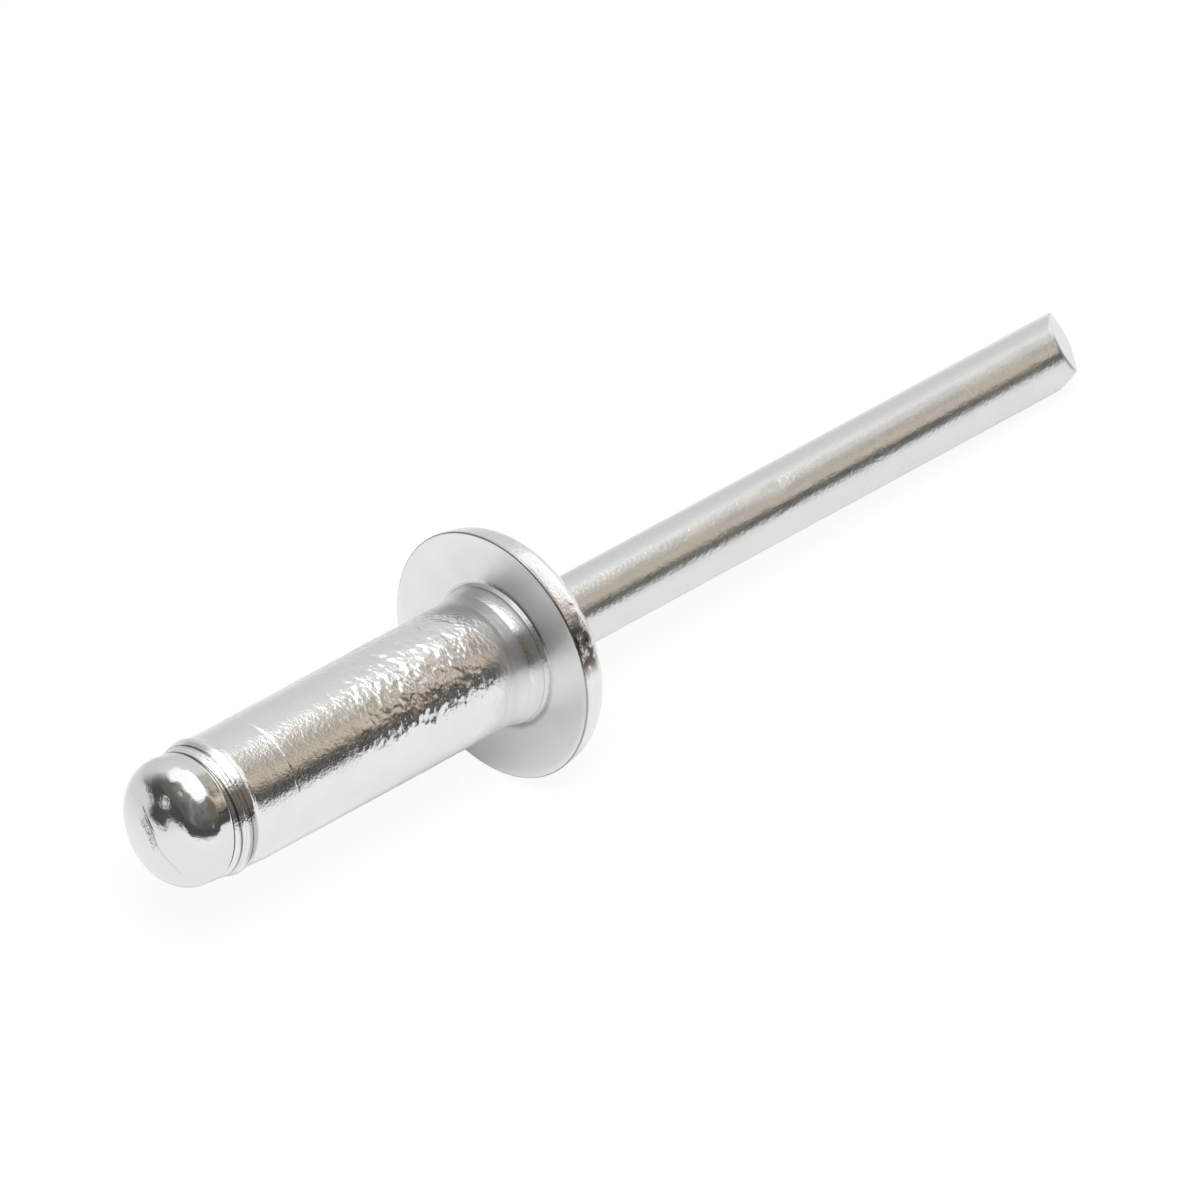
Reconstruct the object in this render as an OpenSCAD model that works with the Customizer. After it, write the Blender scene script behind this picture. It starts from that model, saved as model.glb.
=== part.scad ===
// Open-end blind rivet before setting: an aluminium sleeve with a domed flange
// on a steel break-stem mandrel. It lies as it comes to rest, on the flange's
// rim and the tip of the stem, with its own axis along +X from head to stem.

/* [Sleeve] */
// Outside diameter of the sleeve
sleeve_d = 4.8; // [4.7:0.05:4.9]
// Length of the sleeve under the flange
sleeve_l = 14.4; // [10:0.1:20]
// Diameter of the bore round the stem
bore_d = 2.76; // [2.72:0.02:2.9]

/* [Blind end] */
// Diameter of the swaged nose behind the mandrel's head
nose_d = 4.7; // [4.6:0.02:4.74]
// Length of the swaged nose
nose_l = 0.47; // [0.35:0.01:0.5]
// How much the nose narrows toward its end, on the radius
nose_draft = 0.04; // [0.02:0.01:0.1]
// Diameter over the rolled lip
lip_d = 4.97; // [4.94:0.01:5.1]
// Distance of the lip's crest from the blind end
lip_at = 0.75; // [0.7:0.01:0.9]
// Radius of the lip's roll
lip_r = 0.7; // [0.6:0.05:1.2]
// Length over which the sleeve grips the mandrel
grip_l = 1.2; // [0.8:0.1:2]

/* [Flange] */
// Diameter of the flange
flange_d = 9.18; // [8.8:0.02:9.5]
// Height of the flange at its crown
flange_h = 1.7; // [1.6:0.05:1.8]
// Height of the rim below the rounded shoulder
rim_h = 0.42; // [0.34:0.02:0.46]
// Radius of the shoulder between rim and crown
shoulder_r = 0.97; // [0.8:0.01:1.02]
// Rounding of the rim's lower edge
rim_edge = 0.2; // [0.1:0.01:0.32]
// Diameter of the collar where the sleeve meets the flange
collar_d = 4.94; // [4.92:0.01:5.05]
// Length of the collar
collar_l = 0.42; // [0.35:0.01:0.5]
// Length of the taper that leads up to the collar
collar_lead = 0.2; // [0.1:0.01:0.3]
// How much the collar narrows away from the flange, on the radius
collar_draft = 0.01; // [0.01:0.01:0.05]
// Fillet between the collar and the flange
root_r = 0.26; // [0.15:0.01:0.3]
// Width of the countersink round the stem at the crown
mouth = 0.14; // [0.05:0.01:0.2]

/* [Mandrel] */
// Diameter of the stem
stem_d = 2.6; // [2.5:0.02:2.66]
// Distance from the flange's underside to the tip of the stem
stem_l = 29.4; // [25:0.1:32]
// Diameter of the head
head_d = 4.62; // [4.4:0.02:4.66]
// Length of the head
head_l = 2.05; // [2:0.05:2.2]
// Length of the head's straight side
head_side = 0.62; // [0.5:0.01:0.65]
// Radius between the head's side and its nose
head_round = 1.15; // [0.9:0.05:1.15]
// Rounding of the head's rear edge
head_edge = 0.08; // [0.04:0.01:0.12]
// Distance of the break groove from the head
break_at = 3.2; // [2.5:0.1:5]
// Diameter left at the bottom of the break groove
break_d = 1.7; // [1.5:0.05:2]
// Width of the break groove at the stem's surface
break_w = 1; // [0.6:0.1:1.4]

/* [Pinched tip] */
// Length along the stem of the longer bevel
bevel_l = 1.73; // [1:0.01:2]
// Width of the land between the two bevels
land_w = 0.2; // [0.1:0.02:0.4]
// Distance of the land's middle from the stem's axis
land_off = 0.25; // [0:0.01:0.4]
// Rounding of the land's lower end
land_round = 2.1; // [1.4:0.05:2.4]
// Turn of the bevels about the stem, away from straight up
pinch_turn = 42; // [0:1:60]

/* [Hidden] */
$fn = 96;
sleeve_r = sleeve_d / 2;
bore_r = bore_d / 2;
nose_r = nose_d / 2;
flange_r = flange_d / 2;
collar_r = collar_d / 2;
stem_r = stem_d / 2;
head_r = head_d / 2;
break_r = break_d / 2;
land_near = -land_off + land_w / 2;
land_far = -land_off - land_w / 2;
bevel_slope = bevel_l / (stem_r - land_near);
head_nose_r = crown_r(head_r - head_round, head_l - head_side, head_round);
tilt = rest_tilt(0, 20);
axis_height = rim_reach(tilt);
x_min = (head_nose_r - sleeve_l - head_l) * cos(tilt) - head_nose_r;
x_max = stem_l * cos(tilt) + sin(tilt)
    * (land_near * cos(pinch_turn) + sqrt(pow(stem_r, 2) - pow(land_near, 2)) * sin(pinch_turn));

// Radius of the crown that runs smoothly into a corner arc of radius r, whose
// centre is x from the axis and lies depth below the crown's top
function crown_r(x, depth, r) = (x * x + depth * depth - r * r) / (2 * (depth - r));

// How far the flange's rim reaches down from the axis at a tilt of t
function rim_reach(t) =
    (flange_r - shoulder_r) * cos(t) + rim_h * sin(t) + shoulder_r;

// How far the lower edge of the tip reaches down from the axis at a tilt of t
function tip_reach(t) =
    (stem_l - bevel_slope * land_far) * sin(t)
    + stem_r * norm([cos(t) * cos(pinch_turn) - bevel_slope * sin(t),
                     cos(t) * sin(pinch_turn)]);

// The tilt at which rim and tip touch the ground together, found by halving
function rest_tilt(low, high, steps = 40) =
    let (t = (low + high) / 2)
    steps == 0 ? t
    : rim_reach(t) > tip_reach(t) ? rest_tilt(t, high, steps - 1)
    : rest_tilt(low, t, steps - 1);

// Lays a piece drawn along +Z, with its flange at the origin, on the ground
module lying() {
    translate([-(x_min + x_max) / 2, 0, axis_height])
        rotate([0, 90 + tilt, 0])
            children();
}

// Half section of a disc with a straight side, a rounded corner and a crown
module domed_section(r, side, corner, height, edge) {
    x = r - corner;
    crown = crown_r(x, height - side, corner);
    meet = crown * x / (crown - corner);
    square([r - edge, side]);
    translate([0, edge]) square([r, side - edge]);
    translate([r - edge, edge]) intersection() {
        circle(edge);
        translate([0, -edge]) square(edge);
    }
    intersection() {
        translate([0, height - crown]) circle(crown);
        translate([0, side]) square([meet, height]);
    }
    intersection() {
        translate([x, side]) circle(corner);
        translate([x, side]) square(corner);
    }
}

// Half section of the collar, its lead and the fillet under the flange
module root_section() {
    lead_end = -collar_l - collar_lead;
    polygon([[0, lead_end], [sleeve_r, lead_end],
             [collar_r - collar_draft, -collar_l],
             [collar_r, -root_r], [collar_r, 0], [0, 0]]);
    translate([collar_r, -root_r]) difference() {
        square(root_r);
        translate([root_r, 0]) circle(root_r);
    }
}

// Half section of the swaged nose and the rolled lip behind it
module blind_end_section() {
    translate([0, -sleeve_l]) {
        polygon([[0, 0], [nose_r - nose_draft, 0], [nose_r, nose_l], [0, nose_l]]);
        intersection() {
            translate([lip_d / 2 - lip_r, lip_at]) circle(lip_r);
            translate([0, nose_l]) square([lip_d / 2, 2 * (lip_at - nose_l)]);
        }
    }
}

// Half section of the hole: tight on the mandrel at the blind end, then wider
module bore_section() {
    tight_r = stem_r;
    start = -sleeve_l;
    widen = bore_r - tight_r;
    top = flange_h + mouth;
    polygon([[0, start - 1], [tight_r, start - 1], [tight_r, start + grip_l],
             [bore_r, start + grip_l + widen], [bore_r, flange_h - mouth],
             [bore_r + 2 * mouth, top], [0, top]]);
}

// Half section of the groove at which the stem breaks
module break_section() {
    translate([0, -sleeve_l + break_at])
        polygon([[break_r, 0], [stem_r + 1, -break_w], [stem_r + 1, break_w],
                 [break_r, 0]]);
}

// All that the two bevels leave of the mandrel, with the land between them
module between_bevels() {
    reach = head_r + 1;
    low = -sleeve_l - head_l - 1;
    rotate([90, 0, 0])
        linear_extrude(height = 2 * reach, center = true)
            polygon([[-reach, low], [reach, low],
                     [reach, stem_l - bevel_slope * (reach - land_near)],
                     [land_near, stem_l], [land_far, stem_l],
                     [-reach, stem_l - bevel_slope * (reach + land_far)]]);
}

// All that the rounding of the land's lower end leaves of the mandrel
module inside_rounding() {
    reach = head_r + 1;
    low = -sleeve_l - head_l - 1;
    middle = [stem_r - land_round, stem_l - land_round];
    rotate([90, 0, 90])
        linear_extrude(height = 2 * reach, center = true) {
            translate([-reach, low]) square([2 * reach, middle.y - low]);
            translate([-reach, low]) square([reach + middle.x, stem_l - low]);
            translate(middle) circle(land_round);
        }
}

module sleeve() {
    color("gainsboro") lying() rotate_extrude() difference() {
        union() {
            translate([0, lip_at - sleeve_l])
                square([sleeve_r, sleeve_l - lip_at]);
            blind_end_section();
            root_section();
            domed_section(flange_r, rim_h, shoulder_r, flange_h, rim_edge);
        }
        bore_section();
    }
}

module mandrel() {
    color("lightsteelblue") lying() intersection() {
        rotate_extrude() {
            difference() {
                translate([0, -sleeve_l]) square([stem_r, sleeve_l + stem_l]);
                break_section();
            }
            translate([0, -sleeve_l]) mirror([0, 1])
                domed_section(head_r, head_side, head_round, head_l, head_edge);
        }
        rotate([0, 0, 180 + pinch_turn]) between_bevels();
        rotate([0, 0, 180 + pinch_turn]) inside_rounding();
    }
}

sleeve();
mandrel();
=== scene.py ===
import math
import bpy
import bmesh
import numpy as np
from mathutils import Matrix, Vector


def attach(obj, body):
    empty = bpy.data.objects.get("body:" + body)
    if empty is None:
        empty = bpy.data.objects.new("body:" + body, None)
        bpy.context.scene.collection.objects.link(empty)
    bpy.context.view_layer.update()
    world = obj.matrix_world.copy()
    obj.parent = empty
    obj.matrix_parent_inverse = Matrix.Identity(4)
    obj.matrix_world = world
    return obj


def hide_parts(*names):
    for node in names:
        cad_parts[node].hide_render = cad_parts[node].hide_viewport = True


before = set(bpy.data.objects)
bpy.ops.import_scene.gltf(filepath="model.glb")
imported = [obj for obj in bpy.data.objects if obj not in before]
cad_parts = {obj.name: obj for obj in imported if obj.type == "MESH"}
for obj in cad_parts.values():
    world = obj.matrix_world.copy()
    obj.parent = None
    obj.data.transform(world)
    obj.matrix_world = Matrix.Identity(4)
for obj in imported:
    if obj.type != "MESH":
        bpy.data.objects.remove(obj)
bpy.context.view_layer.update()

mm = 0.001

# how the rivet lies: its axis starts at the flange's underside and leans down toward the tip
lying = dict(
    tilt=6.64455,              # degrees that the axis leans down
    flangeX=-6.46265,          # mm, centre of the flange's underside
    flangeZ=4.61428,
    facing=222.2,              # degrees round the axis at which the surface faces the viewer
)
layDown = (Matrix.Translation((lying["flangeX"] * mm, 0, lying["flangeZ"] * mm))
           @ Matrix.Rotation(math.radians(90 + lying["tilt"]), 4, "Y"))


def smooth(low, high, value):
    t = np.clip((value - low) / (high - low), 0, 1)
    return t * t * (3 - 2 * t)


def hump(value, middle, width):
    return np.exp(-((value - middle) / width) ** 2)


def halfTurn(degrees):
    return (degrees + 180) % 360 - 180


def straight(points, r, s, steps):
    r0, s0 = points[-1]
    for i in range(1, steps + 1):
        points.append((r0 + (r - r0) * i / steps, s0 + (s - s0) * i / steps))


def curved(points, centre, radius, fromDeg, toDeg, steps):
    for i in range(0, steps + 1):
        a = math.radians(fromDeg + (toDeg - fromDeg) * i / steps)
        p = (centre[0] + radius * math.cos(a), centre[1] + radius * math.sin(a))
        if math.dist(p, points[-1]) > 1e-4:
            points.append(p)


def crownRadius(x, depth, corner):
    return (x * x + depth * depth - corner * corner) / (2 * (depth - corner))


# across the rivet's axis, toward the top of the view
topOfView = math.radians(lying["facing"] - 90)
upward = np.array([math.cos(topOfView), math.sin(topOfView)])

sleeveSizes = dict(
    bodyR=2.4, boreR=1.38, tightR=1.305, blindEnd=-14.4, gripEnd=-13.2,
    noseR=2.29, noseEndR=2.345, noseChamfer=0.04, stepAt=-13.95, grooves=(-14.23, -14.09), grooveDepth=0.016,
    lipFootR=2.36, lipR=2.455, lipCrestAt=-13.58, lipEnd=-13.34,
    # round the lip's crest, as (how far below it, how far past it, steps)
    lipCrest=((0.01, -0.05, 8), (0, 0, 2), (0.004, 0.05, 2), (0.03, 0.12, 3)),
    creaseAt=-11.65, peelFrom=-8.5, burnishFrom=-1.15, burnishDepth=0.012,
    flare=((2.406, -0.74), (2.424, -0.58), (2.482, -0.36)),
    # two low rings where the sleeve meets the flange, in its slightly dished underside
    collarAt=-0.08, collarR=2.55, ringFrom=-0.03, ringAt=0.13, ringR=2.605, rootAt=0.16, rootR=2.635,
    rimAt=-0.03, flangeR=4.568, rimEdge=0.06, edgeLean=8, sideLean=15,
    rimH=0.42, shoulderX=3.54, shoulderR=0.95, flangeH=1.69, mouth=0.14, mouthWide=0.095,
)


def noseOutline(p, z):
    straight(p, z["noseR"] - 0.05, z["blindEnd"], 4)
    straight(p, z["noseR"], z["blindEnd"] + z["noseChamfer"], 2)
    noseSlope = (z["noseEndR"] - z["noseR"]) / (z["stepAt"] - z["blindEnd"] - z["noseChamfer"])
    for at in z["grooves"]:                                    # fine turned grooves
        r = z["noseR"] + noseSlope * (at - z["blindEnd"])
        straight(p, r, at - 0.03, 3)
        straight(p, r - z["grooveDepth"], at, 2)
        straight(p, r, at + 0.02, 2)
    straight(p, z["noseEndR"], z["stepAt"] - 0.02, 2)
    straight(p, z["noseEndR"] - 0.02, z["stepAt"], 1)


def lipOutline(p, z):
    straight(p, z["lipFootR"], z["stepAt"] + 0.02, 2)
    for below, past, steps in z["lipCrest"]:                   # the rolled lip rises as a shallow cone
        straight(p, z["lipR"] - below, z["lipCrestAt"] + past, steps)
    straight(p, z["bodyR"] + 0.01, z["lipEnd"] - 0.04, 3)
    straight(p, z["bodyR"], z["lipEnd"], 1)


def shankOutline(p, z):
    # the rows are close together at the crease and where the peel is strong
    for s, steps in ((z["creaseAt"] - 0.2, 14), (z["creaseAt"] + 0.15, 12),
                     (z["peelFrom"], 38), (z["burnishFrom"], 159)):
        straight(p, z["bodyR"], s, steps)


def collarOutline(p, z):
    straight(p, z["bodyR"] - z["burnishDepth"], z["burnishFrom"] + 0.05, 1)
    for r, s in (*z["flare"], (z["collarR"], z["collarAt"])):  # it flares up to the first ring
        straight(p, r, s, 4)
    straight(p, z["collarR"], z["ringFrom"] - 0.015, 1)
    straight(p, z["collarR"] - 0.015, z["ringFrom"], 1)
    straight(p, z["collarR"] + 0.005, z["ringFrom"] + 0.015, 1)
    straight(p, z["ringR"], z["ringAt"], 5)
    straight(p, z["rootR"] - 0.02, z["rootAt"] - 0.005, 1)
    straight(p, z["rootR"], z["rootAt"], 1)


def rimOutline(p, z):
    inner = z["flangeR"] - z["rimEdge"]
    straight(p, inner, z["rimAt"], 9)
    curved(p, (inner, z["rimAt"] + z["rimEdge"]), z["rimEdge"], -90, z["edgeLean"], 5)
    # above the edge the side leans in more and more, until the shoulder begins
    r0, s0 = p[-1]
    first, lean = math.radians(z["edgeLean"]), math.radians(z["sideLean"])
    r2 = z["shoulderX"] + z["shoulderR"] * math.cos(lean)
    s2 = z["rimH"] + z["shoulderR"] * math.sin(lean)
    half = math.hypot(r2 - r0, s2 - s0) / 2
    r1, s1 = r0 - half * math.sin(first), s0 + half * math.cos(first)
    for i in range(1, 7):
        k = i / 6
        p.append(((1 - k) ** 2 * r0 + 2 * k * (1 - k) * r1 + k * k * r2,
                  (1 - k) ** 2 * s0 + 2 * k * (1 - k) * s1 + k * k * s2))


def crownOutline(p, z):
    x = z["shoulderX"]
    crown = crownRadius(x, z["flangeH"] - z["rimH"], z["shoulderR"])
    middle = z["flangeH"] - crown
    turn = math.degrees(math.atan2(z["rimH"] - middle, x))
    curved(p, (x, z["rimH"]), z["shoulderR"], z["sideLean"], turn, 13)
    edgeR = z["boreR"] + z["mouthWide"]
    for i in range(1, 10):
        r = p[-1][0] + (edgeR - p[-1][0]) / (10 - i)
        p.append((r, middle + math.sqrt(crown ** 2 - r ** 2)))


def boreOutline(p, z):
    straight(p, z["boreR"], z["flangeH"] - z["mouth"], 2)
    straight(p, z["boreR"], z["gripEnd"] + 0.08, 5)
    straight(p, z["tightR"], z["gripEnd"], 1)
    straight(p, z["tightR"], z["blindEnd"], 1)


def sleeveProfile(z):
    p = [(z["tightR"], z["blindEnd"])]
    for outline in (noseOutline, lipOutline, shankOutline, collarOutline,
                    rimOutline, crownOutline, boreOutline):
        outline(p, z)
    return p


mandrelSizes = dict(
    stemR=1.3, tipAt=29.395, headBack=-14.415, headR=2.3, headL=2.005, headSide=0.62,
    headRound=1.15, headEdge=0.08, breakAt=-11.2, breakR=0.85, breakW=1.0,
    dimpleAt=13.5, dimpleReach=1.2, pinchFrom=26.5, poleR=0.03,
)


def headOutline(p, z):
    x = z["headR"] - z["headRound"]
    crown = crownRadius(x, z["headL"] - z["headSide"], z["headRound"])
    pole = p[-1][1]
    meet = crown * x / (crown - z["headRound"])
    for i in range(1, 73):
        r = z["poleR"] + (meet - z["poleR"]) * i / 72
        p.append((r, pole + crown - math.sqrt(crown ** 2 - r ** 2)))
    corner = (x, z["headBack"] - z["headSide"])
    turn = math.degrees(math.atan2(crown - z["headL"] + z["headSide"], x))
    curved(p, corner, z["headRound"], -turn, 0, 24)
    straight(p, z["headR"], z["headBack"] - z["headEdge"], 7)
    curved(p, (z["headR"] - z["headEdge"], z["headBack"] - z["headEdge"]), z["headEdge"], 0, 90, 5)
    straight(p, z["stemR"], z["headBack"], 5)


def stemOutline(p, z):
    for r, past in ((z["stemR"], -0.5), (z["breakR"], 0), (z["stemR"], 0.5)):    # the break groove
        straight(p, r, z["breakAt"] + past * z["breakW"], 3)
    for s, steps in ((1.5, 5), (z["dimpleAt"] - z["dimpleReach"], 30),
                     (z["dimpleAt"] + z["dimpleReach"], 28), (z["pinchFrom"], 24),
                     (z["tipAt"] - 0.14, 24), (z["tipAt"], 6)):
        straight(p, z["stemR"], s, steps)
    straight(p, z["stemR"] - 0.1, z["tipAt"], 4)
    straight(p, z["poleR"], z["tipAt"], 16)
    p.append((0, z["tipAt"]))


def mandrelProfile(z):
    pole = z["headBack"] - z["headL"]
    p = [(0, pole), (z["poleR"], pole)]
    headOutline(p, z)
    stemOutline(p, z)
    return p


class TreeMaker:
    def __init__(self, tree):
        self.tree = tree

    def add(self, kind, **settings):
        node = self.tree.nodes.new(kind)
        for name, value in settings.items():
            setattr(node, name, value)
        return node

    def plug(self, node, name, value):
        socket = node.inputs[name]
        if isinstance(value, bpy.types.NodeSocket):
            self.tree.links.new(value, socket)
        else:
            socket.default_value = value

    def maths(self, operation, *values):
        node = self.add("ShaderNodeMath", operation=operation)
        for i, value in enumerate(values):
            self.plug(node, i, value)
        return node.outputs[0]

    def ramp(self, value, fromLow, fromHigh, toLow=0.0, toHigh=1.0, kind="SMOOTHSTEP"):
        node = self.add("ShaderNodeMapRange", interpolation_type=kind)
        for name, v in (("Value", value), ("From Min", fromLow), ("From Max", fromHigh),
                        ("To Min", toLow), ("To Max", toHigh)):
            self.plug(node, name, v)
        return node.outputs["Result"]


skinInputs = (
    ("Turn Steps", "NodeSocketInt", 288), ("Seed", "NodeSocketInt", 3),
    ("Peel Depth", "NodeSocketFloat", 0.0), ("Peel Size", "NodeSocketFloat", 0.0002),
    ("Ring Stretch", "NodeSocketFloat", 1.0), ("Fold", "NodeSocketFloat", 0.0),
    ("Wave Depth", "NodeSocketFloat", 0.0), ("Wave Size", "NodeSocketFloat", 0.0005),
    ("Lean", "NodeSocketFloat", 0.0), ("Place", "NodeSocketVector", (0, 0, 0)),
    ("Finish", "NodeSocketMaterial", None),
)


def peelShare(t):
    node = t.add("GeometryNodeInputNamedAttribute", data_type="FLOAT")
    t.plug(node, "Name", "peelShare")
    return node.outputs[0]


def turnedSkin(t, given):
    # one column of the grid for each step of the turn, one row for each point of the profile
    count = t.add("GeometryNodeAttributeDomainSize", component="MESH")
    t.plug(count, "Geometry", given["Profile"])
    rows = count.outputs["Point Count"]
    grid = t.add("GeometryNodeMeshGrid")
    t.plug(grid, "Vertices X", t.maths("ADD", given["Turn Steps"], 1.0))
    t.plug(grid, "Vertices Y", rows)
    index = t.add("GeometryNodeInputIndex").outputs[0]
    row = t.maths("MODULO", index, rows)
    column = t.maths("FLOOR", t.maths("DIVIDE", t.maths("ADD", index, 0.5), rows))

    def ofProfile(kind, value):
        node = t.add("GeometryNodeSampleIndex", data_type=kind, domain="POINT")
        t.plug(node, "Geometry", given["Profile"])
        t.plug(node, "Value", value)
        t.plug(node, "Index", row)
        return node.outputs[0]

    part = t.add("ShaderNodeSeparateXYZ")
    t.plug(part, 0, ofProfile("FLOAT_VECTOR", t.add("GeometryNodeInputPosition").outputs[0]))
    angle = t.maths("MULTIPLY", t.maths("DIVIDE", column, given["Turn Steps"]), 2 * math.pi)
    bare = t.add("ShaderNodeCombineXYZ")
    t.plug(bare, "X", t.maths("MULTIPLY", part.outputs["X"], t.maths("COSINE", angle)))
    t.plug(bare, "Y", t.maths("MULTIPLY", part.outputs["X"], t.maths("SINE", angle)))
    t.plug(bare, "Z", part.outputs["Z"])
    keep = t.add("GeometryNodeStoreNamedAttribute", data_type="FLOAT", domain="POINT")
    t.plug(keep, "Geometry", grid.outputs["Mesh"])
    t.plug(keep, "Name", "peelShare")
    t.plug(keep, "Value", ofProfile("FLOAT", peelShare(t)))
    move = t.add("GeometryNodeSetPosition")
    t.plug(move, "Geometry", keep.outputs[0])
    t.plug(move, "Position", bare.outputs[0])
    seam = t.add("GeometryNodeMergeByDistance")
    t.plug(seam, "Geometry", move.outputs[0])
    t.plug(seam, "Distance", 1e-7)
    return seam.outputs[0]


def peeledSkin(t, given, skin):
    # the peel of the drawn metal: small wrinkles, over broader waves where it is strong
    stretch = t.add("ShaderNodeCombineXYZ")
    for axis in "XY":
        t.plug(stretch, axis, 1.0)
    t.plug(stretch, "Z", given["Ring Stretch"])
    drawn = t.add("ShaderNodeVectorMath", operation="MULTIPLY")
    t.plug(drawn, 0, t.add("GeometryNodeInputPosition").outputs[0])
    t.plug(drawn, 1, stretch.outputs[0])

    def swell(size, *more):
        node = t.add("ShaderNodeTexNoise", noise_dimensions="4D")
        for name, v in (("Vector", drawn.outputs[0]), ("W", given["Seed"]),
                        ("Scale", t.maths("DIVIDE", 1.0, size)), *more):
            t.plug(node, name, v)
        return t.maths("SUBTRACT", node.outputs[0], 0.5)

    wrinkles = swell(given["Peel Size"], ("Detail", 2.0), ("Roughness", 0.55), ("Distortion", given["Fold"]))
    waves = swell(given["Wave Size"], ("Detail", 1.0))
    share = peelShare(t)
    fine = t.maths("MULTIPLY", given["Peel Depth"], wrinkles)
    broad = t.maths("MULTIPLY", t.maths("MULTIPLY", given["Wave Depth"], share), waves)
    lift = t.add("ShaderNodeVectorMath", operation="SCALE")
    t.plug(lift, 0, t.add("GeometryNodeInputNormal").outputs[0])
    t.plug(lift, "Scale", t.maths("MULTIPLY", share, t.maths("ADD", fine, broad)))
    peel = t.add("GeometryNodeSetPosition")
    t.plug(peel, "Geometry", skin)
    t.plug(peel, "Offset", lift.outputs[0])
    return peel.outputs[0]


def laidSkin(t, given, skin):
    turn = t.add("ShaderNodeCombineXYZ")
    t.plug(turn, "Y", given["Lean"])
    lay = t.add("GeometryNodeTransform")
    t.plug(lay, "Geometry", skin)
    t.plug(lay, "Translation", given["Place"])
    t.plug(lay, "Rotation", turn.outputs[0])
    real = t.add("GeometryNodeRealizeInstances")
    t.plug(real, "Geometry", lay.outputs[0])
    paint = t.add("GeometryNodeSetMaterial")
    t.plug(paint, "Geometry", real.outputs[0])
    t.plug(paint, "Material", given["Finish"])
    return paint.outputs[0]


def turnedSkinTree():
    tree = bpy.data.node_groups.new("turnedSkin", "GeometryNodeTree")
    face = tree.interface
    face.new_socket("Profile", in_out="INPUT", socket_type="NodeSocketGeometry")
    for name, kind, value in skinInputs:
        socket = face.new_socket(name, in_out="INPUT", socket_type=kind)
        if value is not None:
            socket.default_value = value
    face.new_socket("Piece", in_out="OUTPUT", socket_type="NodeSocketGeometry")
    t = TreeMaker(tree)
    given = t.add("NodeGroupInput").outputs
    skin = laidSkin(t, given, peeledSkin(t, given, turnedSkin(t, given)))
    tree.links.new(skin, t.add("NodeGroupOutput").inputs[0])
    return tree


def addObject(name, data):
    made = bpy.data.objects.new(name, data)
    bpy.context.scene.collection.objects.link(made)
    return made


def turnPiece(name, profile, zones, boreR, tree, finish, values):
    mesh = bpy.data.meshes.new(name + "Profile")
    mesh.from_pydata([(r * mm, 0, s * mm) for r, s in profile], [], [])
    r, s = np.array(profile).T
    share = np.interp(s, *zip(*zones)) * (r > boreR + 0.03)
    mesh.attributes.new("peelShare", "FLOAT", "POINT").data.foreach_set("value", share.astype(np.float32))
    source = addObject(name + "Profile", mesh)
    modifier = source.modifiers.new("turn", "NODES")
    modifier.node_group = tree
    values = dict(values, **{"Lean": math.radians(90 + lying["tilt"]), "Finish": finish,
                             "Place": (lying["flangeX"] * mm, 0, lying["flangeZ"] * mm)})
    for item in tree.interface.items_tree:
        if item.in_out == "INPUT" and item.name in values:
            modifier[item.identifier] = values[item.name]
    graph = bpy.context.evaluated_depsgraph_get()
    made = bpy.data.meshes.new_from_object(source.evaluated_get(graph))
    source.modifiers.clear()
    bpy.data.objects.remove(source)
    made.name = name
    return addObject(name, made)


def ownPlaces(piece):
    co = np.empty(len(piece.data.vertices) * 3, np.float32)
    piece.data.vertices.foreach_get("co", co)
    co = co.reshape(-1, 3).astype(float)
    back = np.array(layDown.inverted())
    return (co @ back[:3, :3].T + back[:3, 3]) / mm


def putBack(piece, own):
    go = np.array(layDown)
    co = (own * mm) @ go[:3, :3].T + go[:3, 3]
    piece.data.vertices.foreach_set("co", co.astype(np.float32).ravel())
    piece.data.update()


def closeUp(piece, sharpFrom=32):
    bm = bmesh.new()
    bm.from_mesh(piece.data)
    bmesh.ops.recalc_face_normals(bm, faces=bm.faces)
    for f in bm.faces:
        f.smooth = True
    for e in bm.edges:
        if len(e.link_faces) == 2 and e.calc_face_angle(0) > math.radians(sharpFrom):
            e.smooth = False
    openEdges = sum(1 for e in bm.edges if len(e.link_faces) != 2)
    volume = bm.calc_volume(signed=True)
    bm.to_mesh(piece.data)
    bm.free()
    tris = sum(len(f.vertices) - 2 for f in piece.data.polygons)
    print(f"{piece.name}: {tris} triangles, {openEdges} open edges, {volume * 1e9:.1f} mm3")


def storeShare(piece, name, values):
    layer = piece.data.attributes.new(name, "FLOAT", "POINT")
    layer.data.foreach_set("value", values.astype(np.float32))


def polar(own):
    r = np.hypot(own[:, 0], own[:, 1])
    # degrees from the side that faces the viewer, rising toward the top of the view
    turn = lying["facing"] - np.degrees(np.arctan2(own[:, 1], own[:, 0]))
    return r, own[:, 2], halfTurn(turn)


def bareMaterial(name):
    material = bpy.data.materials.new(name)
    material.use_nodes = True
    material.node_tree.nodes.clear()
    t = TreeMaker(material.node_tree)
    return material, t, t.add("ShaderNodeOutputMaterial")


def newFinish(name):
    material, t, out = bareMaterial(name)
    metal = t.add("ShaderNodeBsdfPrincipled")
    t.plug(metal, "Metallic", 1.0)
    t.plug(out, "Surface", metal.outputs[0])
    # the rivet's own axes, with Z along the stem
    own = t.add("ShaderNodeMapping", vector_type="TEXTURE")
    t.plug(own, "Vector", t.add("ShaderNodeTexCoord").outputs["Object"])
    t.plug(own, "Location", (lying["flangeX"] * mm, 0, lying["flangeZ"] * mm))
    t.plug(own, "Rotation", (0, math.radians(90 + lying["tilt"]), 0))
    return material, t, metal, own.outputs[0]


def stored(t, name, kind="Fac"):
    return t.add("ShaderNodeAttribute", attribute_name=name).outputs[kind]


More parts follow.
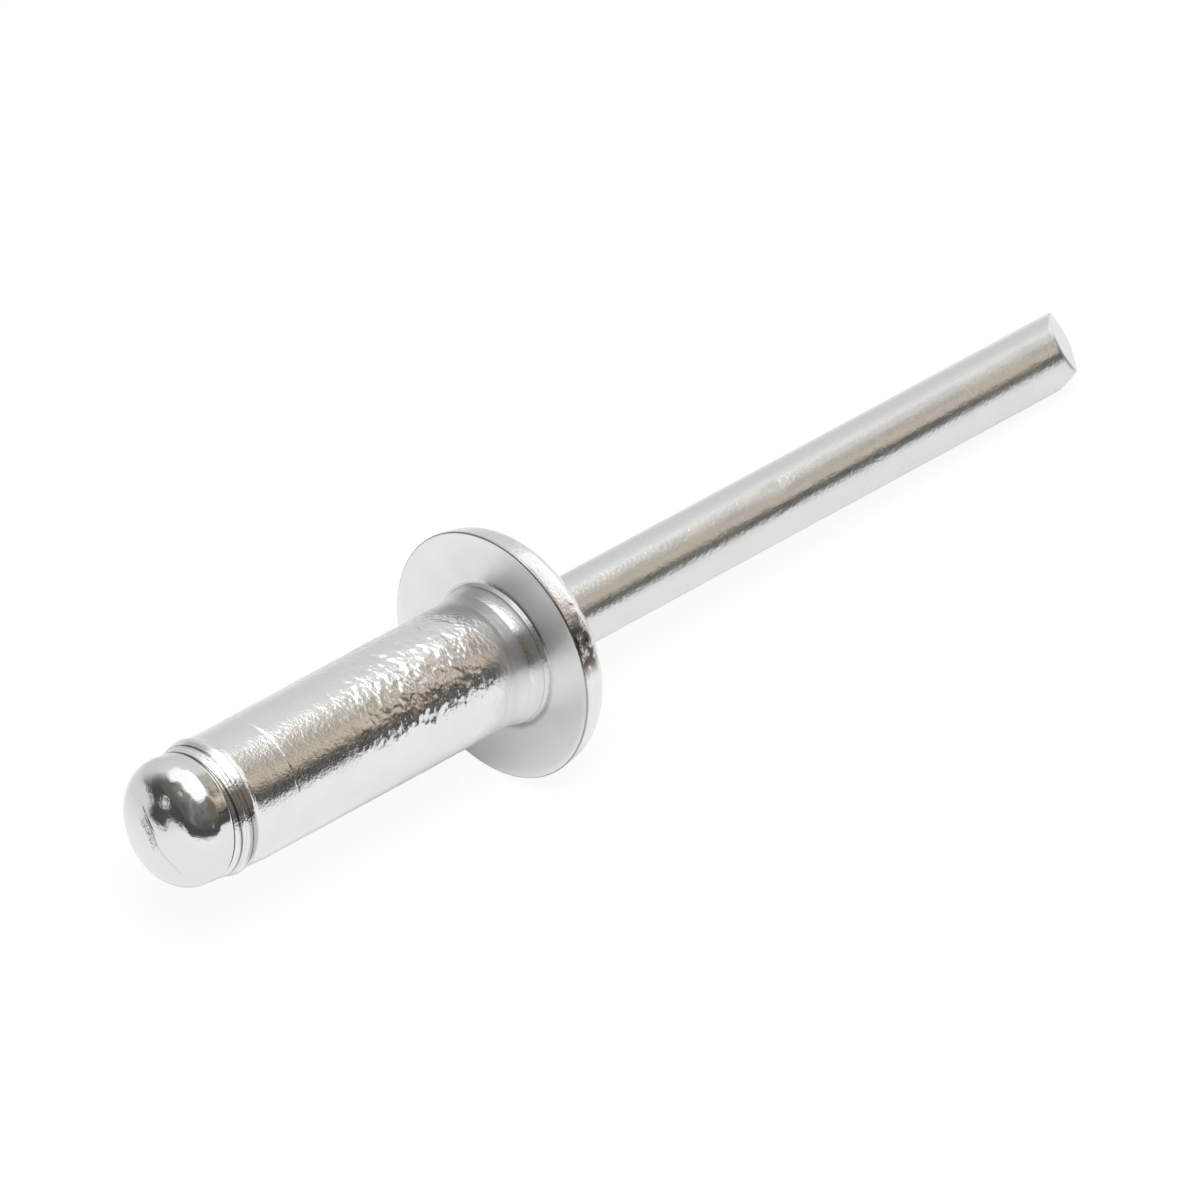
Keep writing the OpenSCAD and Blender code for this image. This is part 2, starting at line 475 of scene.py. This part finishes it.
def noise(t, vector, size, detail=2.0, roughness=0.5, stretch=None):
    if stretch:
        squeeze = t.add("ShaderNodeVectorMath", operation="MULTIPLY")
        t.plug(squeeze, 0, vector)
        t.plug(squeeze, 1, stretch)
        vector = squeeze.outputs[0]
    node = t.add("ShaderNodeTexNoise")
    for name, v in (("Vector", vector), ("Scale", 1 / (size * mm)), ("Detail", detail),
                    ("Roughness", roughness)):
        t.plug(node, name, v)
    return node.outputs[0]


def tint(t, share, first, second):
    node = t.add("ShaderNodeMix", data_type="RGBA")
    t.plug(node, 0, share)
    for i, colour in ((6, first), (7, second)):
        if isinstance(colour, bpy.types.NodeSocket):
            t.tree.links.new(colour, node.inputs[i])
        else:
            node.inputs[i].default_value = (*colour, 1)
    return node.outputs[2]


def bump(t, height, depth, after=None):
    node = t.add("ShaderNodeBump")
    t.plug(node, "Height", height)
    t.plug(node, "Distance", depth * mm)
    if after is not None:
        t.plug(node, "Normal", after)
    return node.outputs[0]


aluminium = dict(
    light=(0.79, 0.79, 0.785), shade=(0.77, 0.77, 0.765),
    # the dark colour below serves the painted shade and painted dark reflections
    pale=(0.93, 0.93, 0.925), shadeAndGrime=(0.10, 0.105, 0.115), bright=0.1, satin=0.43, matt=0.1,
    # the dark brown colour below is a painted reflection on the rim
    rimDarkReflection=(0.12, 0.09, 0.075), rimReflectionSize=0.34, grainSize=0.11, grainDepth=0.012, cloudSize=1.1,
)


def drawnAluminium(z):
    material, t, metal, own = newFinish("drawnAluminium")
    clouds = noise(t, own, z["cloudSize"], 3.0)
    grain = noise(t, own, z["grainSize"], 3.0, 0.6)
    satin = stored(t, "satin")
    colour = tint(t, t.ramp(clouds, 0.35, 0.65), z["light"], z["shade"])
    colour = tint(t, t.ramp(satin, 0.05, 0.8), colour, z["pale"])
    # painted shade and painted dark reflections darken the colour here
    shadeAndGrime = stored(t, "shadeAndGrime")
    colour = tint(t, shadeAndGrime, colour, z["shadeAndGrime"])
    # painted dark brown reflection on the rim, in blotches
    rimReflectionShare = stored(t, "rimReflectionShare")
    blotches = t.ramp(noise(t, own, z["rimReflectionSize"], 4.0, 0.65), 0.33, 0.55)
    t.plug(metal, "Base Color", tint(t, t.maths("MULTIPLY", rimReflectionShare, blotches), colour, z["rimDarkReflection"]))
    t.plug(metal, "Metallic", t.ramp(satin, 0.3, 1.0, 1.0, 1 - z["matt"], "LINEAR"))
    rough = t.ramp(satin, 0.0, 1.0, z["bright"], z["satin"], "LINEAR")
    t.plug(metal, "Roughness", t.maths("ADD", rough, t.ramp(clouds, 0.3, 0.7, -0.03, 0.03)))
    smoothed = t.ramp(satin, 0.0, 0.5, 1.0, 0.5, "LINEAR")
    t.plug(metal, "Normal", bump(t, t.maths("MULTIPLY", grain, smoothed), z["grainDepth"]))
    return material


zinc = dict(
    light=(0.73, 0.75, 0.75), warm=(0.74, 0.74, 0.72),
    # the dark colour below serves the painted shade and the real pits
    shadeAndGrime=(0.27, 0.28, 0.285), bright=0.08, dull=0.25, pitSize=0.09, pitDepth=0.05,
    grainSize=0.15, grainDepth=0.012,
    streakSize=0.05, streakLength=2.5, streakDepth=0.0015, cloudSize=1.6,
)


def zincPlatedSteel(z):
    material, t, metal, own = newFinish("zincPlatedSteel")
    clouds = noise(t, own, z["cloudSize"], 3.0)
    streaks = noise(t, own, z["streakSize"], 3.0, 0.55, (1, 1, z["streakSize"] / z["streakLength"]))
    dull = stored(t, "dull")
    colour = tint(t, t.ramp(clouds, 0.4, 0.7), z["light"], z["warm"])
    pits = stored(t, "pitted")
    pitNoise = noise(t, own, z["pitSize"], 3.0, 0.65)
    specks = t.maths("MULTIPLY", t.ramp(pitNoise, 0.5, 0.6), pits)
    # painted shade at the head's gap and darker ridge and sheared edge, with the real pits in the same dark
    # colour
    shadeAndGrime = stored(t, "shadeAndGrime")
    t.plug(metal, "Base Color", tint(t, t.maths("MAXIMUM", shadeAndGrime, specks), colour, z["shadeAndGrime"]))
    rough = t.ramp(dull, 0.0, 1.0, z["bright"], z["dull"], "LINEAR")
    t.plug(metal, "Roughness", t.maths("ADD", rough, t.ramp(clouds, 0.3, 0.7, -0.02, 0.03)))
    grain = t.maths("MULTIPLY", noise(t, own, z["grainSize"], 2.0, 0.6),
                    t.ramp(dull, 0.0, 1.0, 0.3, 1.0, "LINEAR"))
    pitted = t.maths("MULTIPLY", pitNoise, pits)
    drawn = bump(t, streaks, z["streakDepth"], after=bump(t, grain, z["grainDepth"]))
    t.plug(metal, "Normal", bump(t, pitted, z["pitDepth"], after=drawn))
    return material


skinTree = turnedSkinTree()
print("turned skin tree ready")

sleevePeel = {
    "Turn Steps": 288, "Seed": 5, "Peel Depth": 0.058 * mm, "Peel Size": 0.155 * mm,
    "Ring Stretch": 1.2, "Fold": 0.35, "Wave Depth": 0.1 * mm, "Wave Size": 0.42 * mm,
}
# how strong the peel is along the sleeve, as (place, share)
sleeveZones = (
    (-14.4, 0.2), (-13.3, 0.25), (-12.6, 0.3), (-9.6, 0.33), (-8.0, 0.6), (-5.8, 1.1), (-2.9, 0.9),
    (-2.0, 0.5), (-1.35, 0.12), (-1.15, 0.0), (0.19, 0.0), (0.3, 0.4), (1.0, 0.4), (1.7, 0.15),
)
sleeve = turnPiece("rivetSleeve", sleeveProfile(sleeveSizes), sleeveZones, sleeveSizes["boreR"],
                   skinTree, drawnAluminium(aluminium), sleevePeel)

marks = dict(
    # mm, how far the swaged end leans forward on its lower side, and how far it sits up
    cockedBy=0.15, raisedBy=0.05,
    creaseDepth=0.009, scratchDepth=0.03, scratchTurn=44, calm=0.7,
    faintCreases=(-3.4, -1.75), faintDepth=0.004,
    # nicks in the rim, as (turn, place, length round the rim, width, depth)
    nicks=((-7.5, 0.72, 0.30, 0.07, 0.035), (-13, 0.50, 0.16, 0.10, 0.03), (-15.5, 0.95, 0.22, 0.06, 0.03),
           (2, 0.66, 0.12, 0.10, 0.03), (4.5, 1.05, 0.20, 0.05, 0.02), (-19, 0.4, 0.25, 0.06, 0.025)),
    looseNicks=46, looseSeed=12,
    # how strong the painted shade on the lip's cone and the painted dark reflection at the collar are, and
    # how satin the burnished band is
    lipPaintedShade=0.42, bandDarkReflection=0.36, bandSatin=0.45, flareSatin=0.16, fadeSatin=0.3, fadeFrom=-2.7,
)


def shankDents(r, s, turn, z, w):
    # the ring crease on the blind half, and the bright scratch beside it
    dent = w["creaseDepth"] * hump(s, z["creaseAt"] + 0.0005 * turn, 0.03)
    scratch = z["creaseAt"] - 0.05 - 0.004 * (turn - w["scratchTurn"])
    dent += w["scratchDepth"] * hump(s, scratch, 0.085) * hump(turn, w["scratchTurn"], 15)
    for at in w["faintCreases"]:
        dent += w["faintDepth"] * smooth(at - 0.03, at + 0.03, s) * smooth(at + 0.5, at + 0.1, s) \
            * smooth(-15, -30, turn)
    # the peel is fainter on the lower side
    peeled = (s > z["lipEnd"]) * (s < z["burnishFrom"])
    dent += w["calm"] * (r - z["bodyR"]) * smooth(-22, -34, turn) * peeled
    return np.where((r > z["bodyR"] - 0.2) & (s < 0), dent, 0)


def rimNicks(r, s, turn, w):
    rim = (s > 0.1) & (r > 3.2)
    seed = np.random.default_rng(w["looseSeed"])
    loose = [(seed.uniform(-180, 180), seed.uniform(0.2, 1.3), seed.uniform(0.08, 0.25),
              seed.uniform(0.05, 0.1), seed.uniform(0.006, 0.02)) for i in range(w["looseNicks"])]
    dent = np.zeros(len(r))
    for at, place, length, width, depth in [*w["nicks"], *loose]:
        away = halfTurn(turn - at) * math.pi / 180 * r
        dent += np.where(rim, depth * hump(s, place, width) * hump(away, 0, length * 0.6), 0)
    return dent


def sleevePaintedShade(r, s, turn, z, w):
    first, last = z["grooves"]
    # painted shade in the gaps and grooves at the blind end, the step, the rings and the root, and a painted
    # dark line along the rim's lower edge
    shadeAndGrime = hump(s, z["blindEnd"], 0.045) + 0.75 * hump(s, z["stepAt"], 0.02) \
        + 0.2 * (hump(s, first, 0.015) + hump(s, last, 0.015)) \
        + 0.5 * hump(s, z["ringFrom"], 0.014) * (r < z["ringR"]) \
        + 0.25 * hump(s, z["rootAt"], 0.03) * (r < z["rootR"] + 0.01) \
        + 0.8 * hump(s, z["rimAt"] + 0.03, 0.03) * (r > z["flangeR"] - 0.04)
    # painted shade on the lip's cone, above and below, away from the viewer's side
    cone = smooth(last, last + 0.04, s) * smooth(z["stepAt"] + 0.26, z["stepAt"] + 0.16, s)
    below = smooth(-16, -26, turn) * smooth(-75, -60, turn)
    above = smooth(36, 50, turn) * smooth(80, 65, turn)
    shadeAndGrime += w["lipPaintedShade"] * cone * np.maximum(below, above)
    # a painted dark reflection on the burnished band and the collar, on the viewer's side
    bandDarkReflection = smooth(z["burnishFrom"] - 0.3, z["burnishFrom"], s) * (s < z["ringAt"]) * (r < z["ringR"]) \
        * smooth(-25, -19, turn) * smooth(9, -2, turn)
    shadeAndGrime = np.maximum(shadeAndGrime, w["bandDarkReflection"] * bandDarkReflection)
    return np.clip(shadeAndGrime * (r > z["bodyR"] - 0.15), 0, 1)


def sleeveSatin(r, s, z, w):
    under = smooth(z["rootR"] - 0.02, z["rootR"] + 0.1, r) * (s < z["rootAt"] + 0.01) \
        * (r < z["flangeR"] - 0.05)
    # the band is satin as far as the flare, and the shank before it a little
    brighter = (w["bandSatin"] - w["flareSatin"]) * smooth(-0.78, -0.5, s)
    band = smooth(z["burnishFrom"] - 0.15, z["burnishFrom"] + 0.05, s) * (w["bandSatin"] - brighter)
    band = np.maximum(band, w["fadeSatin"] * smooth(w["fadeFrom"], z["burnishFrom"], s)) * (s < z["ringAt"])
    return np.maximum(under, band * (r > z["bodyR"] - 0.1) * (r < z["rootR"]))


def markSleeve(piece, z, w):
    own = ownPlaces(piece)
    r, s, turn = polar(own)
    dent = shankDents(r, s, turn, z, w) + rimNicks(r, s, turn, w)
    own[:, :2] *= ((r - dent) / np.maximum(r, 1e-6))[:, None]
    lower = r * np.sin(np.radians(turn)) / z["bodyR"]
    own[:, 2] -= w["cockedBy"] * (1 - lower) * smooth(-12.3, -13.3, s)
    own[:, :2] += w["raisedBy"] * smooth(-12.4, -13.8, s)[:, None] * upward
    putBack(piece, own)
    # painted shade and painted dark reflections on the sleeve
    storeShare(piece, "shadeAndGrime", sleevePaintedShade(r, s, turn, z, w))
    # a painted dark brown reflection on the rim
    rimReflectionShare = (s > 0.03) * smooth(1.0, 0.7, s) * (r > 4.0) * smooth(-32, -23, turn) * smooth(-3, -11, turn)
    storeShare(piece, "rimReflectionShare", rimReflectionShare)
    storeShare(piece, "satin", sleeveSatin(r, s, z, w))


markSleeve(sleeve, sleeveSizes, marks)
closeUp(sleeve)

mandrelPeel = {
    "Turn Steps": 320, "Seed": 11, "Peel Depth": 0.013 * mm, "Peel Size": 0.4 * mm,
    "Ring Stretch": 1.0, "Fold": 0.2,
}
mandrelZones = ((-16.5, 1.0), (-15.0, 1.0), (-14.6, 0.5), (-14.3, 0.0))
mandrel = turnPiece("rivetMandrel", mandrelProfile(mandrelSizes), mandrelZones, -1, skinTree,
                    zincPlatedSteel(zinc), mandrelPeel)

tipSizes = dict(
    slope=1.1931, nearEdge=-0.15, farEdge=-0.35, burr=0.1, rollShare=0.3,
    lowRound=0.5, lowFrom=-0.5, topRound=0.245, topFrom=0.0,
)


def pinchTip(piece, z, tip):
    own = ownPlaces(piece)
    r, s, turn = polar(own)
    toView = r * np.cos(np.radians(turn))
    down = -r * np.sin(np.radians(turn))
    # two bevels with a narrow land between them, rounded at its lower end
    end = np.minimum(z["tipAt"], z["tipAt"] - tip["slope"] * (toView - tip["nearEdge"]))
    end = np.minimum(end, z["tipAt"] - tip["slope"] * (tip["farEdge"] - toView))
    land = z["tipAt"] - tip["lowRound"] * np.clip(down - tip["lowFrom"], 0, None) ** 2 \
        - tip["topRound"] * np.clip(-down - tip["topFrom"], 0, None) ** 2
    end = np.minimum(end, land)
    wall = (s > z["pinchFrom"]) & (r > z["stemR"] - 0.02)
    face = (s > z["tipAt"] - 0.001)
    share = (s - z["pinchFrom"]) / (z["tipAt"] - z["pinchFrom"])
    s = np.where(wall, z["pinchFrom"] + share * (end - z["pinchFrom"]), np.where(face, end, s))
    # the sheared edge is rolled over a little
    roll = tip["rollShare"] * tip["burr"]
    inward = np.where(wall, roll * np.clip(1 - (end - s) / tip["burr"], 0, 1) ** 2, 0)
    own[:, 2] = s - np.where(face, roll * np.clip(1 - (z["stemR"] - r) / tip["burr"], 0, 1) ** 2, 0)
    own[:, :2] *= ((r - inward) / np.maximum(r, 1e-6))[:, None]
    putBack(piece, own)
    return np.where(wall, end - s, np.where(face, z["stemR"] - r, z["stemR"]))


headLook = dict(
    cocked=5.0, raised=0.05, shorter=0.15, ridge=0.013, ridgeWidth=0.03, dimple=0.034, dimpleTurn=21,
)


def leanHead(own, r, s, z, w):
    # the head was upset a little askew: its crown leans up, its lower side is shorter
    own[:, 2] -= np.where(s < z["headBack"] + 0.001, w["shorter"] * smooth(-15.6, z["headBack"], s), 0)
    back = z["headBack"] - w["shorter"]
    rise = own[:, :2] @ upward
    onHead = (s < z["headBack"] + 0.001) * smooth(0.9, 1.3, np.where(s > z["headBack"] - 0.05, r, 2))
    askew = math.radians(w["cocked"]) * onHead
    behind = own[:, 2] - back
    newRise = rise * np.cos(askew) - behind * np.sin(askew) + w["raised"] * onHead
    own[:, 2] = back + behind * np.cos(askew) + rise * np.sin(askew)
    own[:, :2] += (newRise - rise)[:, None] * upward


def markMandrel(piece, z, w, toEdge):
    own = ownPlaces(piece)
    r, s, turn = polar(own)
    q = r * np.cos(np.radians(turn))
    m = r * np.sin(np.radians(turn))
    head = s < z["headBack"] - 0.2
    # the thin ridge left across the head's crown, with pitted metal beside it
    across = q - (0.27 - 0.12 * np.clip(m, 0, 1)) + 0.12 * hump(m, -0.75, 0.5)
    length = smooth(1.15, 0.75, m) * smooth(-1.9, -1.4, m)
    own[:, 2] -= np.where(head, w["ridge"] * hump(across, 0, w["ridgeWidth"]) * length, 0)
    pitted = smooth(-0.5, -0.36, across) * smooth(-0.03, -0.1, across) \
        * smooth(0.75, 0.35, m) * smooth(-0.75, -0.4, m) * head
    # the dimple in the stem
    dimple = w["dimple"] * hump(s, z["dimpleAt"], z["dimpleReach"] / 2) * hump(turn, w["dimpleTurn"], 15)
    own[:, :2] *= ((r - dimple) / np.maximum(r, 1e-6))[:, None]
    leanHead(own, r, s, z, w)
    putBack(piece, own)
    storeShare(piece, "dull", smooth(-14.6, -14.2, s))
    storeShare(piece, "pitted", pitted)
    # painted shade where the head meets the sleeve; darker along the ridge and at the tip's sheared edge
    sheared = hump(toEdge, 0, 0.1) * smooth(40, 10, turn) * smooth(-60, -30, turn)
    shadeAndGrime = hump(s, z["headBack"], 0.06) * (r > 2) + sheared \
        + 0.5 * hump(across, -0.04, 0.03) * length * head
    storeShare(piece, "shadeAndGrime", np.clip(shadeAndGrime, 0, 1))


toEdge = pinchTip(mandrel, mandrelSizes, tipSizes)
markMandrel(mandrel, mandrelSizes, headLook, toEdge)
closeUp(mandrel)

for piece, node in ((sleeve, "sleeve"), (mandrel, "mandrel")):
    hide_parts(node)
    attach(piece, "root")
print("pieces placed")

floorLook = dict(
    size=3.0, shade=(0.93, 0.93, 0.93), glowSeen=0.9, glowMirrored=0.1, mirroredShade=0.92,
    farShade=0.75, farFrom=5.0, farTo=24.0,
    # mm, the dimmer spot in front of the flange: where it is, how far it spreads
    nearAt=(-8.5, 1.5), nearShade=0.74, nearFrom=1.5, nearTo=6.0,
    # the dark cloth on the paper beyond the head: direction, where it begins, its spread
    headX=22.0, clothDirection=147.0, clothFrom=24.0, clothTo=32.0, clothNarrow=0.12, clothWide=0.28,
    cloth=0.07,
)


def clothOnFloor(t, place, z):
    facing = math.radians(z["clothDirection"])
    fromHead = t.maths("ADD", place["X"], z["headX"] * mm)
    along = t.maths("ADD", t.maths("MULTIPLY", fromHead, math.cos(facing)),
                    t.maths("MULTIPLY", place["Y"], math.sin(facing)))
    across = t.maths("SUBTRACT", t.maths("MULTIPLY", fromHead, math.sin(facing)),
                     t.maths("MULTIPLY", place["Y"], math.cos(facing)))
    spread = t.maths("DIVIDE", t.maths("ABSOLUTE", across), t.maths("MAXIMUM", along, 1 * mm))
    return t.maths("MULTIPLY", t.ramp(along, z["clothFrom"] * mm, z["clothTo"] * mm),
                   t.ramp(spread, z["clothNarrow"], z["clothWide"], 1.0, 0.0))


def makeFloor(z):
    mesh = bpy.data.meshes.new("floor")
    h = z["size"] / 2
    mesh.from_pydata([(-h, -h, 0), (h, -h, 0), (h, h, 0), (-h, h, 0)], [], [(0, 1, 2, 3)])
    floor = addObject("floor", mesh)
    material, t, out = bareMaterial("paleFloor")
    matt = t.add("ShaderNodeBsdfDiffuse")
    glow = t.add("ShaderNodeEmission")
    path = t.add("ShaderNodeLightPath").outputs
    mirrored = path["Is Glossy Ray"]
    own = t.add("ShaderNodeTexCoord").outputs["Object"]
    place = t.add("ShaderNodeSeparateXYZ")
    t.plug(place, 0, own)
    # painted shade: the paper turns a little darker behind the rivet, as the metal shows it
    far = t.ramp(place.outputs["Y"], z["farFrom"] * mm, z["farTo"] * mm)
    # little light reaches the paper just in front of the flange
    spot = t.add("ShaderNodeVectorMath", operation="DISTANCE")
    t.plug(spot, 0, own)
    t.plug(spot, 1, (*[v * mm for v in z["nearAt"]], 0))
    near = t.ramp(spot.outputs["Value"], z["nearFrom"] * mm, z["nearTo"] * mm, 1.0, 0.0)
    # a dark cloth lies on it beyond the head
    near, far, dark = [t.maths("MULTIPLY", mirrored, share)
                       for share in (near, far, clothOnFloor(t, place.outputs, z))]
    for node, full in ((matt, z["shade"]), (glow, (1, 1, 1))):
        paper = tint(t, mirrored, full, [v * z["mirroredShade"] for v in full])
        paper = tint(t, near, paper, [v * z["nearShade"] for v in full])
        paper = tint(t, far, paper, [v * z["farShade"] for v in full])
        t.plug(node, "Color", tint(t, dark, paper, [z["cloth"]] * 3))
    seen = t.maths("MAXIMUM", path["Is Camera Ray"], path["Is Transmission Ray"])
    share = t.maths("ADD", t.maths("MULTIPLY", seen, z["glowSeen"]),
                    t.maths("MULTIPLY", mirrored, z["glowMirrored"]))
    mix = t.add("ShaderNodeMixShader")
    t.plug(mix, 0, share)
    t.plug(mix, 1, matt.outputs[0])
    t.plug(mix, 2, glow.outputs[0])
    t.plug(out, "Surface", mix.outputs[0])
    mesh.materials.append(material)


tentLook = dict(
    radius=0.4, columns=240, rows=120,
    # brightness of the pale cloth at these heights in degrees
    clothUp=(0, 18, 30, 44, 56, 68, 90), cloth=(0.75, 0.77, 0.82, 0.86, 0.98, 1.35, 1.35),
    # the soft lamp overhead
    softAt=(20, 72), softRadius=20.5, softEdge=1.8, softGlow=2.6,
    clothTint=(0.99, 1.0, 0.99),
    # the room seen through the opening, darkest low down
    roomUp=(0, 10, 22, 34, 46, 58, 72), room=(0.16, 0.14, 0.13, 0.165, 0.20, 0.26, 0.42),
    roomTint=(1.0, 0.97, 0.9),
    tan=(0.70, 0.61, 0.51), tanHigh=(0.60, 0.55, 0.485), brown=(0.24, 0.195, 0.16),
    # uneven brightness over the room and the walls: columns, rows, lowest, highest
    clutterSeed=4, roomClutter=(24, 10, 0.72, 1.3), wallClutter=(72, 26, 0.6, 1.4),
)
# patches over the cloth: azimuth from and to, height from and to, softness in both, colour or its name
tentPatches = (
    ("brightWall", -18, 27, -9, 33, 5, 4, (1.3, 1.3, 1.3)),
    ("lowWall", -48, -15, 1, 21.5, 4, 3, "brown"),
    ("glowHigh", -78, 3, 57, 73, 6, 4, (1.5, 1.5, 1.48)),
    ("tanWall", -85, -15, 21, 52, 4, 3, "tan"),
    ("tanWallHigh", -22, 13, 36, 54, 3, 2.5, "tanHigh"),
    ("tanEdge", 8, 13, 37, 50, 2, 2, (0.52, 0.48, 0.42)),
    ("seam", -33, -8, 36.5, 43, 4, 2, (0.24, 0.22, 0.19)),
    ("openingLeft", 112, 205, -20, 67, 18, 5, "room"),
    ("glowLeft", 62, 128, 46, 80, 7, 5, (1.3, 1.3, 1.28)),
    ("openingRight", 200, 307, 4, 61, 10, 2.5, "room"),
    ("brownWall", -96, -46, 24, 50, 6, 5, (0.20, 0.165, 0.13)),
    ("brownEdge", -55, -34, 6, 22.5, 3, 2.0, (0.034, 0.03, 0.027)),
    ("darkFloorEdge", 195, 326, 4, 17, 7, 2, (0.085, 0.082, 0.08)),
    ("darkFloorLeft", 130, 200, -20, 17, 7, 2, (0.085, 0.085, 0.085)),
    ("floorRise", -64, -30, -20, 3, 4, 0.8, (1.0, 1.0, 1.0)),
    ("windowHigh", 160, 171, 44, 53, 3, 3, (0.6, 0.62, 0.62)),
    ("windowLow", 147, 154, 4, 10, 2, 2, (1.0, 1.0, 1.0)),
    ("glintRight", -97, -91, 15, 20, 2, 2, (0.42, 0.42, 0.42)),
    ("glintFront", -155, -149, 35, 39, 2, 2, (0.36, 0.36, 0.35)),
)


def clutter(z, azimuth, up, columns, rows, low, high):
    seed = np.random.default_rng(z["clutterSeed"])
    spots = seed.uniform(low, high, (rows + 1, columns))
    gx, gy = azimuth % 360 * columns / 360, np.clip(up, 0, 89.9) * rows / 90
    ix, iy = np.floor(gx).astype(int), np.floor(gy).astype(int)
    fx, fy = smooth(0, 1, gx - ix), smooth(0, 1, gy - iy)
    row0, row1 = [spots[iy + b, ix % columns] * (1 - fx) + spots[iy + b, (ix + 1) % columns] * fx
                  for b in (0, 1)]
    return (row0 * (1 - fy) + row1 * fy)[:, None]


def lampShare(z, azimuth, up):
    lampA, lampE = [math.radians(v) for v in z["softAt"]]
    ra, re = np.radians(azimuth), np.radians(up)
    toLamp = np.sin(re) * math.sin(lampE) + np.cos(re) * math.cos(lampE) * np.cos(ra - lampA)
    apart = np.degrees(np.arccos(np.clip(toLamp, -1, 1)))
    return 1 - smooth(z["softRadius"] - z["softEdge"], z["softRadius"] + z["softEdge"], apart)


def tentColours(z, azimuth, up):
    colour = np.interp(up, z["clothUp"], z["cloth"])[:, None] * np.array(z["clothTint"])
    colour += lampShare(z, azimuth, up)[:, None] * (z["softGlow"] - colour)
    fine = clutter(z, azimuth, up, *z["wallClutter"])
    painted = {name: fine * np.array(z[name]) for name in ("tan", "tanHigh", "brown")}
    room = np.interp(up, z["roomUp"], z["room"])[:, None] * np.array(z["roomTint"])
    painted["room"] = room * clutter(z, azimuth, up, *z["roomClutter"])
    for name, left, right, low, high, soft, softUp, paint in tentPatches:
        middle, half = (left + right) / 2, (right - left) / 2
        away = np.abs(halfTurn(azimuth - middle))
        share = (1 - smooth(half - soft, half + soft, away)) \
            * smooth(low - softUp, low + softUp, up) * (1 - smooth(high - softUp, high + softUp, up))
        target = painted[paint] if isinstance(paint, str) else np.array(paint)
        colour = colour + share[:, None] * (target - colour)
    return colour


def makeTent(z):
    azimuth = np.arange(z["columns"]) * 360 / z["columns"]
    up = np.linspace(0, 1, z["rows"] + 1)[:-1] ** 1.25 * 90      # closer rows near the floor
    a, e = [g.ravel() for g in np.meshgrid(azimuth, up)]
    ra, re = np.radians(a), np.radians(e)
    dome = np.stack([np.cos(ra) * np.cos(re), np.sin(ra) * np.cos(re), np.sin(re)], 1) * z["radius"]
    points = [tuple(p) for p in dome] + [(0, 0, z["radius"])]
    n, faces = z["columns"], []
    for row in range(z["rows"] - 1):
        for c in range(n):
            d = (c + 1) % n
            faces.append((row * n + c, (row + 1) * n + c, (row + 1) * n + d, row * n + d))
    last = (z["rows"] - 1) * n
    faces += [(last + c, len(points) - 1, last + (c + 1) % n) for c in range(n)]
    mesh = bpy.data.meshes.new("lightTent")
    mesh.from_pydata(points, [], faces)
    colours = tentColours(z, np.append(a, 0), np.append(e, 90))
    layer = mesh.color_attributes.new("glow", "FLOAT_COLOR", "POINT")
    rgba = np.column_stack([colours, np.ones(len(colours))])
    layer.data.foreach_set("color", rgba.astype(np.float32).ravel())
    tent = addObject("lightTent", mesh)
    # only mirrored in the metal: it gives no light of its own and hides nothing
    tent.visible_camera = tent.visible_diffuse = tent.visible_shadow = False
    tent.visible_transmission = tent.visible_volume_scatter = False
    material, t, out = bareMaterial("tentGlow")
    glow = t.add("ShaderNodeEmission")
    t.plug(glow, "Color", stored(t, "glow", "Color"))
    t.plug(out, "Surface", glow.outputs[0])
    material.cycles.emission_sampling = "NONE"
    mesh.materials.append(material)


lampLook = dict(fill=0.6, size=0.35, watts=3.05, place=(-0.22, -0.24, 0.55))


def makeLight(z):
    world = bpy.data.worlds.new("studio")
    world.use_nodes = True
    bpy.context.scene.world = world
    world.node_tree.nodes.clear()
    t = TreeMaker(world.node_tree)
    out = t.add("ShaderNodeOutputWorld")
    back = t.add("ShaderNodeBackground")
    path = t.add("ShaderNodeLightPath").outputs
    seen = t.maths("MAXIMUM", path["Is Camera Ray"], t.maths("MAXIMUM", path["Is Glossy Ray"],
                                                             path["Is Transmission Ray"]))
    t.plug(back, "Color", (1, 1, 1, 1))
    t.plug(back, "Strength", t.ramp(seen, 0.0, 1.0, z["fill"], 1.0, "LINEAR"))
    t.plug(out, "Surface", back.outputs[0])
    lamp = bpy.data.lights.new("overhead", "AREA")
    lamp.shape = "DISK"
    lamp.size = z["size"]
    lamp.energy = z["watts"]
    holder = addObject("overhead", lamp)
    holder.location = z["place"]
    holder.rotation_euler = (-Vector(z["place"])).to_track_quat("-Z", "Y").to_euler()
    holder.visible_glossy = False


makeFloor(floorLook)
makeTent(tentLook)
makeLight(lampLook)
print("floor, tent and light ready")

shot = dict(azimuth=-45.612, elevation=40.746, distance=583.4, lens=510.0, right=3.709, up=1.897)


def makeCamera(z):
    a, e = math.radians(z["azimuth"]), math.radians(z["elevation"])
    back = Vector((math.sin(a) * math.cos(e), -math.cos(a) * math.cos(e), math.sin(e)))
    right = Vector((math.cos(a), math.sin(a), 0))
    up = back.cross(right)
    data = bpy.data.cameras.new("camera")
    data.sensor_width = 36
    data.lens = z["lens"]
    data.clip_start = 0.01
    data.clip_end = 10
    camera = addObject("camera", data)
    flange = Vector((lying["flangeX"], 0, lying["flangeZ"]))
    place = (flange + right * z["right"] + up * z["up"] + back * z["distance"]) * mm
    camera.matrix_world = Matrix.Translation(place) @ Matrix((right, up, back)).transposed().to_4x4()
    bpy.context.scene.camera = camera


makeCamera(shot)
bpy.context.scene.view_settings.view_transform = "Standard"

print("scene ready")
